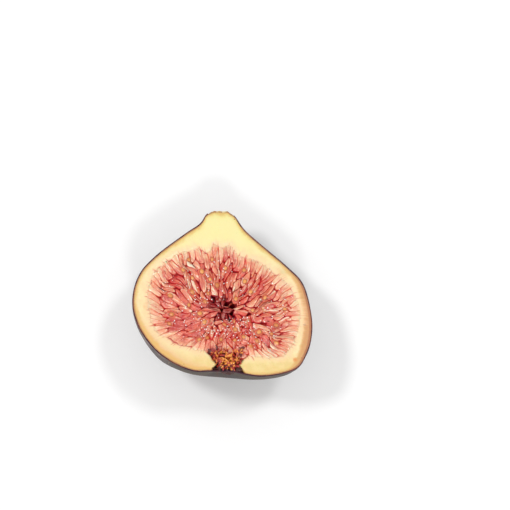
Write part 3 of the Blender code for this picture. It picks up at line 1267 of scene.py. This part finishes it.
def cupSpec(rng, place):
    radius = rng.uniform(*curlParts["cupRadii"]) * mm
    top = topAt(rng, place) + curlParts["cupLift"] * mm
    tip = place.copy()
    tip.z = top
    slant = curlParts["cupSlant"]
    root = place + Vector((rng.gauss(0.0, slant), rng.gauss(0.0, slant), 0.0)) * mm
    root.z = top - curlParts["cupDepth"] * mm
    around = [Vector((math.cos(turn), math.sin(turn), 0.0)) for turn in (0.5, 2.6, 4.7)]
    return {
        "kind": "cup",
        "spine": (root, root.lerp(tip, 0.33), root.lerp(tip, 0.67), tip),
        "rows": [(share, width * radius) for share, width in cupRows],
        "top": top,
        "crown": 1.0,
        "tone": rng.random(),
        "juice": rng.uniform(0.0, 0.6),
        "shift": rng.uniform(0.0, 50.0),
        "seeded": rng.random() < curlParts["cupSeedShare"],
        "seedAt": tip - up * 0.15 * mm,
        "seedTurn": rng.uniform(0.0, math.pi),
        "beadsAt": [tip + way * radius * 0.8 for way in around],
    }


def headSpec(rng, place):
    # a curl or a cup, unless the place is near an edge, a crack or the wet patch
    if inwardsAt(place) < curlParts["fromRind"] * mm:
        return None
    if (place - heart).length < curlParts["fromHeart"] * mm:
        return None
    if canalGap(place) > -1.6 or mouthShare(place) > 0.4:
        return None
    if crackGap(place) < lobeParts["crackWidth"] or smearGap(place) < 0.2:
        return None
    jumbled = jumbleShare(place) > 0.5
    if not jumbled and rng.random() > curlParts["strayShare"]:
        return None
    if jumbled and rng.random() < curlParts["cupShare"]:
        return cupSpec(rng, place)
    lean = rng.gauss(0.0, curlParts["lean"][0 if jumbled else 1])
    outward = Vector((*growth(place), 0.0))
    return curlSpec(rng, place, Matrix.Rotation(lean, 3, "Z") @ outward)


def headPlaces(rng):
    # a shaken triangular grid over the cut face
    gap, shake = curlParts["gap"], curlParts["shake"]
    count = round(curlParts["gridReach"] / gap)
    for row in range(-count, count + 1):
        for column in range(-count, count + 1):
            x = column + 0.5 * (row % 2) + rng.uniform(-shake, shake)
            y = row * math.sqrt(0.75) + rng.uniform(-shake, shake)
            yield heart + Vector((x, y, 0.0)) * (gap * mm)


def floretSpecs():
    rng = random.Random(11)
    sites = lobeSites(rng)
    specs = [lobeSpec(rng, site, sites) for site in sites]
    specs += [headSpec(rng, place) for place in headPlaces(rng)]
    specs = [spec for spec in specs if spec]
    for x, y, back in curlParts["hooks"]:
        place = Vector((x, y, 0.0)) * mm
        turn = math.radians(back)
        hook = curlSpec(rng, place, Vector((math.cos(turn), math.sin(turn), 0.0)))
        specs.append({**hook, "tone": 0.0, "juice": 0.0, "seeded": False})
    kept = []
    for spec in specs:
        near = any((spec["seedAt"] - other).length < lobeParts["seedGap"] * mm for other in kept)
        spec["seeded"] = spec["seeded"] and not near
        if spec["seeded"]:
            kept.append(spec["seedAt"])
    return specs


def makeFlorets(name, specs, material, sides, rings, addFloret):
    bm = bmesh.new()
    layers = floatLayers(bm, floretLayers)
    ball = shapeMesh("stamp", bmesh.ops.create_uvsphere, u_segments=sides, v_segments=rings, radius=1.0)
    for spec in specs:
        addFloret(bm, ball, layers, spec)
    bpy.data.meshes.remove(ball)
    bmesh.ops.transform(bm, matrix=seat, verts=bm.verts)
    return finishPiece(bm, name, material, "pulp")


def floretLook(name):
    look = Look(name)
    hue = tints(lobeParts["colours"])
    space = look.objectSpace()
    rim, below, inwards, tone, juice, depth, turn, reach = map(look.attribute, floretLayers)
    grain = look.noise(space, 1700.0, 3.0, 0.6)
    patch = look.noise(space, 480.0, 2.0)
    flow = look.node("ShaderNodeCombineXYZ", None, {"X": turn, "Y": reach, "Z": tone * 9.0})
    streaks = look.noise(look.map(flow, (7.0, 2.2, 1.0)), 1.0, 3.0, 0.6)
    outer = look.step(inwards + (patch - 0.5) * 3.0, 5.4, 0.6)
    pale = look.mix(hue["pale"], hue["paleDeep"], look.step(tone + (patch - 0.5) * 1.2, 0.1, 0.9))
    middle = look.mix(hue["middle"], hue["middleDeep"], look.step(patch, 0.35, 0.65))
    core = look.step(rim + (streaks - 0.5) * 1.4, 0.9, 0.4) * (1.0 - outer * 0.8)
    colour = look.mix(pale, middle, core * 0.75)
    warm = look.noise(space, 260.0, 2.0)
    colour = look.mix(colour, hue["warm"], look.step(warm, 0.52, 0.68) * (1.0 - outer) * 0.5)
    red = look.mix(hue["red"], hue["redDeep"], look.step(patch + (grain - 0.5) * 0.5, 0.35, 0.65))
    wet = look.step(juice + (patch - 0.5) * 0.6 + (streaks - 0.5) * 0.9, 0.3, 0.75) * (1.0 - outer * 0.85)
    colour = look.mix(colour, red, wet * 0.85)
    # pale and red streaks along each lobe: partly its own fibres, partly painted highlight on the pale
    # ridges and painted shade in the red furrows
    ridge = look.step(streaks, 0.54, 0.64) * (1.0 - wet * 0.6)
    colour = look.mix(colour, hue["ridge"], ridge * 0.9)
    furrow = look.step(streaks, 0.44, 0.34) * look.step(inwards, 0.5, 4.0)
    colour = look.mix(colour, hue["furrow"], furrow * 0.65)
    # painted shade, with the florets' own red walls: redder down each lobe's sides, at its outline and
    # where it dips under its neighbour
    side = look.step(below + (grain - 0.5) * 0.14, 0.03, 0.3)
    side = side.math("MAXIMUM", look.step(rim + (grain - 0.5) * 0.3, 0.66, 0.92) * 0.85)
    colour = look.mix(colour, look.mix(hue["side"], hue["sideOuter"], outer), side)
    # painted shade: darker crimson down in the clefts between lobes, deeper towards the heart
    cleftShade = look.mix(hue["cleftShade"], hue["cleftShadeDeep"], look.step(inwards, 4.0, 11.0))
    colour = look.mix(colour, cleftShade, look.step(below, 0.2, 0.6) * 0.9)
    # painted shade: darker crimson on florets that lie deep below the cut
    colour = look.mix(colour, hue["hollow"], look.step(depth, 1.0, 3.0) * 0.8)
    root = look.step(inwards, 1.4, -0.6) * look.step(below, 0.3, 0.1)
    colour = look.mix(colour, hue["root"], root * 0.9)
    # painted glow: emission in the furrows and down the sides stands in for light seeping through the thin
    # flesh, and keeps the furrows red instead of shaded
    glow = look.mix(hue["glow"], hue["glowOuter"], outer)
    lit = look.step(below, 0.04, 0.4) * look.step(depth, 2.8, 1.0)
    return look.surface(
        Base_Color=colour,
        Roughness=0.13 + grain * 0.08,
        Normal=look.bump(grain * 0.5 + patch * 0.6 + streaks * 0.6, 0.0004, 0.9),
        Specular_IOR_Level=1.0,
        Subsurface_Weight=0.55,
        Subsurface_Radius=(1.0, 0.35, 0.22),
        Subsurface_Scale=0.001,
        Emission_Color=look.mix(tint(0, 0, 0), glow, lit),
        Emission_Strength=lobeParts["glow"],
    )


# seeds, each in a ring of juicy pulp
seedParts = {
    "length": 1.72,  # mm
    "width": 1.4,
    "height": 1.0,
    "sizes": (0.86, 1.2),  # how they vary
    "askew": 0.3,  # radians
    # how big and high beside those sizes, mm that it stands out of the floret, and how ragged
    "seed": {"grow": 1.0, "flat": 1.0, "proud": 0.36, "ragged": 0.08},
    "ring": {"grow": 1.5, "flat": 0.35, "proud": 0.07, "ragged": 0.45},
    "colours": {
        "seed": (212, 122, 52),
        "seedPale": (236, 160, 80),
        "fleck": (198, 96, 46),
        "foot": (170, 70, 34),
        "ring": (236, 122, 82),
        "ringDeep": (208, 66, 54),
    },
}


def addSeed(bm, ball, layers, spec, rng, grow, flat, proud, ragged):
    sizes = [seedParts[name] * grow * mm / 2.0 for name in ("length", "width", "height")]
    sizes[2] *= flat
    size = rng.uniform(*seedParts["sizes"])
    place = spec["seedAt"] + up * (proud * mm - sizes[2] * size)
    turn = Matrix.Rotation(spec["seedTurn"] + rng.gauss(0.0, seedParts["askew"]), 4, "Z")
    scale = Matrix.Diagonal((sizes[0] * size, sizes[1] * size, sizes[2] * size, 1.0))
    matrix = seat @ Matrix.Translation(place) @ turn @ scale
    tone = rng.random()
    for vert in stamp(bm, ball):
        vert[layers["tone"]] = tone
        vert[layers["low"]] = 1.0 - max(vert.co.z, 0.0)
        vert.co *= 1.0 + ragged * noise.noise(vert.co * 1.3 + Vector((tone * 40.0, 0.0, 0.0)))
        vert.co = matrix @ vert.co


def makeSeeds(specs, name, material, slot, grow, flat, proud, ragged):
    rng = random.Random(5)
    bm = bmesh.new()
    layers = floatLayers(bm, ("tone", "low"))
    ball = shapeMesh("stamp", bmesh.ops.create_icosphere, subdivisions=3, radius=1.0)
    for spec in specs:
        if spec["seeded"]:
            addSeed(bm, ball, layers, spec, rng, grow, flat, proud, ragged)
    bpy.data.meshes.remove(ball)
    return finishPiece(bm, name, material, slot)


def seedLook():
    look = Look("fig seeds")
    hue = tints(seedParts["colours"])
    tone = look.attribute("tone")
    low = look.attribute("low")
    grain = look.noise(look.objectSpace(), 1500.0, 3.0)
    colour = look.mix(hue["seed"], hue["seedPale"], tone)
    colour = look.mix(colour, hue["fleck"], look.step(grain, 0.48, 0.75) * 0.6)
    colour = look.mix(colour, hue["foot"], look.step(low + (grain - 0.5) * 0.3, 0.12, 0.5))
    return look.surface(
        Base_Color=colour,
        Roughness=0.25 + grain * 0.1,
        Normal=look.bump(grain, 0.00012, 0.6),
        Specular_IOR_Level=0.6,
        Coat_Weight=0.6,
        Coat_Roughness=0.08,
    )


def ringLook():
    look = Look("juicy ring")
    hue = tints(seedParts["colours"])
    grain = look.noise(look.objectSpace(), 1500.0, 3.0)
    return look.surface(
        Base_Color=look.mix(hue["ring"], hue["ringDeep"], grain),
        Roughness=0.18 + grain * 0.1,
        Normal=look.bump(grain, 0.00015, 0.7),
        Specular_IOR_Level=0.6,
        Subsurface_Weight=0.3,
        Subsurface_Radius=(1.0, 0.3, 0.2),
        Subsurface_Scale=0.0006,
        Coat_Weight=0.6,
        Coat_Roughness=0.06,
    )


# near-white beads standing in for glints of wet light: painted highlights
beadParts = {
    "share": 0.5,  # of the places for one, and of those low in the pulp
    "shareLow": 0.64,
    "glisten": (-4.7, 25.4, 3.4),  # a cluster of painted glints: its middle x, y and half width in mm
    "sizes": (0.08, 0.19),  # radii in mm
    "stretch": (1.0, 1.7),
    "flat": 0.7,
    "colours": {"glintWhite": (255, 248, 242), "glintRosy": (255, 220, 206)},
}


def makeBeads(specs, material):
    # small white beads that stand on the florets as painted glints, most of them low in the pulp
    rng = random.Random(17)
    bm = bmesh.new()
    ball = shapeMesh("stamp", bmesh.ops.create_uvsphere, u_segments=8, v_segments=5, radius=1.0)
    x, y, halfWidth = beadParts["glisten"]
    for spec in specs:
        for spot in spec["beadsAt"]:
            inwards = inwardsAt(spot) / mm
            lowness = smooth(28.0, 14.0, spot.y / mm) * smooth(2.0, 5.0, inwards)
            share = blend(beadParts["share"], beadParts["shareLow"], lowness) * smooth(2.5, 5.5, inwards)
            wet = math.hypot(spot.x / mm - x, spot.y / mm - y) < halfWidth
            if not wet and (rng.random() > share or crackGap(spot) < 1.0):
                continue
            radius = rng.uniform(*beadParts["sizes"]) * mm
            place = Vector((spot.x, spot.y, min(spec["top"] + rng.uniform(0.0, 0.15) * mm, 0.0)))
            stretch = rng.uniform(*beadParts["stretch"])
            turn = Matrix.Rotation(rng.uniform(0.0, math.pi), 4, "Z")
            scale = Matrix.Diagonal((radius * stretch, radius, radius * beadParts["flat"], 1.0))
            matrix = seat @ Matrix.Translation(place) @ turn @ scale
            for vert in stamp(bm, ball):
                vert.co = matrix @ vert.co
    bpy.data.meshes.remove(ball)
    return finishPiece(bm, "glint_beads", material, "pulp")


def beadLook():
    look = Look("white glint beads")
    hue = tints(beadParts["colours"])
    cloud = look.noise(look.objectSpace(), 900.0, 2.0)
    return look.surface(
        Base_Color=look.mix(hue["glintWhite"], hue["glintRosy"], look.step(cloud, 0.45, 0.7)),
        Roughness=0.12 + cloud * 0.1,
        Specular_IOR_Level=0.8,
        Coat_Weight=0.8,
        Coat_Roughness=0.05,
    )


scaleParts = {
    "inner": 170,  # in the canal
    "length": 2.5,  # mm
    "width": 0.8,
    "lengths": (0.6, 1.1),  # how they vary
    "widths": (0.6, 1.2),
    "curls": (0.9, 2.6),  # radians from root to tip
    "thickness": 0.12,
    "sunk": (0.5, 1.7),  # mm below the cut
    "lowest": 1.4,  # mm above the eye, where the canal's scales stop
    "cut": -0.15,  # mm, the height that the knife left them
    "rosetteRings": ((4, 0.0, 0.8), (7, 0.5, 1.0), (9, 1.2, 1.1)),  # count, radius and length in mm
    "rosetteMiddle": (2.3, 1.3),
    "rosetteWidth": 1.0,
    "rosetteCurls": (0.25, 0.6),
    "colours": {
        "dry": (58, 32, 36),
        "dryPale": (104, 58, 48),
        "red": (186, 44, 40),
        "amberDeep": (212, 92, 36),
        "amber": (248, 160, 60),
    },
}


def addScale(bm, layers, stand, length, width, curl, tone, lowest=-math.inf):
    # a leaf-shaped grid, cupped across, curled along its length and pressed down at the knife's plane
    made = bmesh.ops.create_grid(bm, x_segments=3, y_segments=6, size=1.0)["verts"]
    for vert in made:
        along = (vert.co.y + 1.0) / 2.0
        half = width / 2.0 * max(math.sin(math.pi * (0.12 + 0.86 * along)), 0.0) ** 0.6
        bend = curl * along
        radius = length / curl
        vert[layers["along"]] = along
        vert[layers["tone"]] = tone
        cupped = 0.35 * half * vert.co.x**2
        rise = radius * (1.0 - math.cos(bend)) + cupped
        vert.co = stand @ Vector((vert.co.x * half, radius * math.sin(bend), rise))
    # one that would hang out of the canal is moved up as a whole
    lift = max(lowest - min(vert.co.y for vert in made), 0.0)
    limit = scaleParts["cut"] * mm
    for vert in made:
        point = vert.co + Vector((0.0, lift, 0.0))
        if point.z > limit:
            point.z = limit + 0.08 * (point.z - limit)
        vert.co = seat @ point


def scaleStand(place, ahead, face):
    # y runs along the scale, z out of its upper side
    forward = ahead.normalized()
    side = forward.cross(face).normalized()
    normal = side.cross(forward)
    turned = Matrix((side, forward, normal)).transposed().to_4x4()
    return Matrix.Translation(place) @ turned


def makeScales(material):
    rng = random.Random(8)
    bm = bmesh.new()
    layers = floatLayers(bm, ("along", "tone"))
    canal = fig["canal"]
    for index in range(scaleParts["inner"]):
        share = (index + rng.random()) / scaleParts["inner"]
        side = rng.uniform(-1.0, 1.0)
        y = blend(1.2, canal["top"] - 0.2, share)
        x = canal["middle"] + side * canalHalf(y) * 0.95
        place = Vector((x, y, -rng.uniform(*scaleParts["sunk"]))) * mm
        ahead = Vector((-side * rng.uniform(0.2, 1.3), rng.gauss(0.3, 0.7), rng.uniform(0.0, 0.8)))
        face = Vector((rng.gauss(0.0, 0.6), rng.gauss(0.0, 0.6), 1.0))
        length = scaleParts["length"] * rng.uniform(*scaleParts["lengths"]) * mm
        width = scaleParts["width"] * rng.uniform(*scaleParts["widths"]) * mm
        amber = smooth(0.0, 0.35, share) * smooth(1.15, 0.7, share) * (1.0 - 0.75 * side * side)
        amber *= rng.uniform(0.3, 1.1)
        stand = scaleStand(place, ahead, face)
        curl = rng.uniform(*scaleParts["curls"])
        addScale(bm, layers, stand, length, width, curl, amber, scaleParts["lowest"] * mm)
    middle = Vector((*scaleParts["rosetteMiddle"], 0.0)) * mm
    width = scaleParts["rosetteWidth"] * mm
    for count, radius, length in scaleParts["rosetteRings"]:
        for index in range(count):
            turn = math.pi * (index + 0.5 + rng.uniform(-0.2, 0.2)) / count
            out = Vector((math.cos(turn), 0.0, -math.sin(turn)))
            place = middle + out * radius * mm + Vector((0.0, 0.1 * mm, 0.0))
            ahead = out + Vector((0.0, rng.uniform(-0.3, -0.12), 0.0))
            stand = scaleStand(place, ahead, Vector((0.0, -1.0, 0.0)))
            curl = rng.uniform(*scaleParts["rosetteCurls"])
            addScale(bm, layers, stand, length * mm, width, curl, rng.uniform(0.0, 0.05))
    bmesh.ops.solidify(bm, geom=bm.faces[:], thickness=scaleParts["thickness"] * mm)
    return finishPiece(bm, "eye_scales", material, "eye_scale")


def scaleLook():
    look = Look("eye scales")
    hue = tints(scaleParts["colours"])
    tone = look.attribute("tone")
    along = look.attribute("along")
    grain = look.noise(look.objectSpace(), 1300.0, 3.0, 0.6)
    dry = look.mix(hue["dry"], hue["dryPale"], grain)
    amber = look.step(grain + (along - 0.5) * 0.6, 0.35, 0.7)
    amber = look.mix(hue["amberDeep"], hue["amber"], amber)
    red = look.mix(dry, hue["red"], look.step(tone, 0.08, 0.3))
    colour = look.mix(red, amber, look.step(tone + (grain - 0.5) * 0.3, 0.25, 0.55))
    return look.surface(
        Base_Color=colour,
        Roughness=0.28 + grain * 0.2,
        Normal=look.bump(grain, 0.00018, 0.8),
        Subsurface_Weight=0.08,
        Subsurface_Radius=(1.0, 0.5, 0.2),
        Subsurface_Scale=0.0004,
        Coat_Weight=look.step(tone, 0.1, 0.4) * 0.6,
        Coat_Roughness=0.1,
    )


stage = {
    "floorSize": 3.0,
    "floorColour": (250, 250, 250),
    # small soft lamps: place in m, diameter in m, power in W
    "lamps": (
        ((-0.35, 0.10, 0.65), 0.12, 1.4),
        ((0.22, 0.20, 0.70), 0.12, 0.9),
        ((0.02, -0.42, 0.60), 0.12, 0.8),
    ),
    "lampAim": (0.0, 0.0, 0.02),
    "ambient": 0.64,
}

view = {
    "towardEye": 20.0,  # degrees from square-on to the cut face
    "towardLeft": 7.5,
    "distance": 0.5,  # m
    "sensor": 36.0,  # mm
    "frameWidth": 0.150,  # m that the frame is wide at the cut face
    "aim": (10.1, 37.1),  # mm on the cut face, at the middle of the frame
}


def makeCamera():
    tilt, left = math.radians(view["towardEye"]), math.radians(view["towardLeft"])
    away = Vector((-math.sin(left) * math.cos(tilt), -math.sin(tilt), math.cos(left) * math.cos(tilt)))
    turned = seat.to_3x3()
    back = (turned @ away).normalized()
    right = (turned @ Vector((0.0, 1.0, 0.0))).cross(back).normalized()
    top = back.cross(right)
    aim = seat @ Vector((view["aim"][0] * mm, view["aim"][1] * mm, 0.0))
    data = bpy.data.cameras.new("camera")
    data.sensor_width = view["sensor"]
    data.lens = view["sensor"] * view["distance"] / view["frameWidth"]
    data.clip_start = 0.01
    camera = addObject("camera", data)
    rotation = Matrix((right, top, back)).transposed().to_4x4()
    camera.matrix_world = Matrix.Translation(aim + back * view["distance"]) @ rotation
    bpy.context.scene.camera = camera


def addLight(name, place, size, power):
    data = bpy.data.lights.new(name, "AREA")
    data.shape = "DISK"
    data.size = size
    data.energy = power
    light = addObject(name, data)
    light.location = place
    light.rotation_euler = (Vector(stage["lampAim"]) - light.location).to_track_quat("-Z", "Y").to_euler()


def makeStage():
    half = stage["floorSize"] / 2.0
    mesh = shapeMesh("floor", bmesh.ops.create_grid, x_segments=1, y_segments=1, size=half)
    look = Look("pale floor")
    mesh.materials.append(look.surface(Base_Color=tint(*stage["floorColour"]), Roughness=0.8))
    floor = addObject("floor", mesh)
    world = bpy.data.worlds.new("studio")
    bpy.context.scene.world = world
    world.use_nodes = True
    background = world.node_tree.nodes["Background"]
    background.inputs["Color"].default_value = (1.0, 1.0, 1.0, 1.0)
    background.inputs["Strength"].default_value = stage["ambient"]
    for index, (place, size, power) in enumerate(stage["lamps"]):
        addLight(f"lamp{index + 1}", place, size, power)
    bpy.context.scene.view_settings.view_transform = "Standard"


makeCamera()
makeStage()
print("stage ready")
skin = makeSkin(skinLook())
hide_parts("fig_half")
makeStalkEnd(stalkEndLook())
makeFlesh(fleshLook())
specs = floretSpecs()
print("florets", len(specs), "seeded", sum(spec["seeded"] for spec in specs))
lobes = [spec for spec in specs if spec["kind"] == "lobe"]
curls = [spec for spec in specs if spec["kind"] != "lobe"]
lobeLook, curlLook = floretLook("fig florets"), floretLook("curled fig florets")
makeFlorets("florets", lobes, lobeLook, lobeParts["sides"], len(lobeRows) - 1, addLobe)
makeFlorets("curled_florets", curls, curlLook, curlParts["sides"], curlParts["rings"], addCurl)
makeSeeds(specs, "seed_rings", ringLook(), "pulp", **seedParts["ring"])
makeSeeds(specs, "seeds", seedLook(), "seed", **seedParts["seed"])
makeBeads(specs, beadLook())
makeScales(scaleLook())
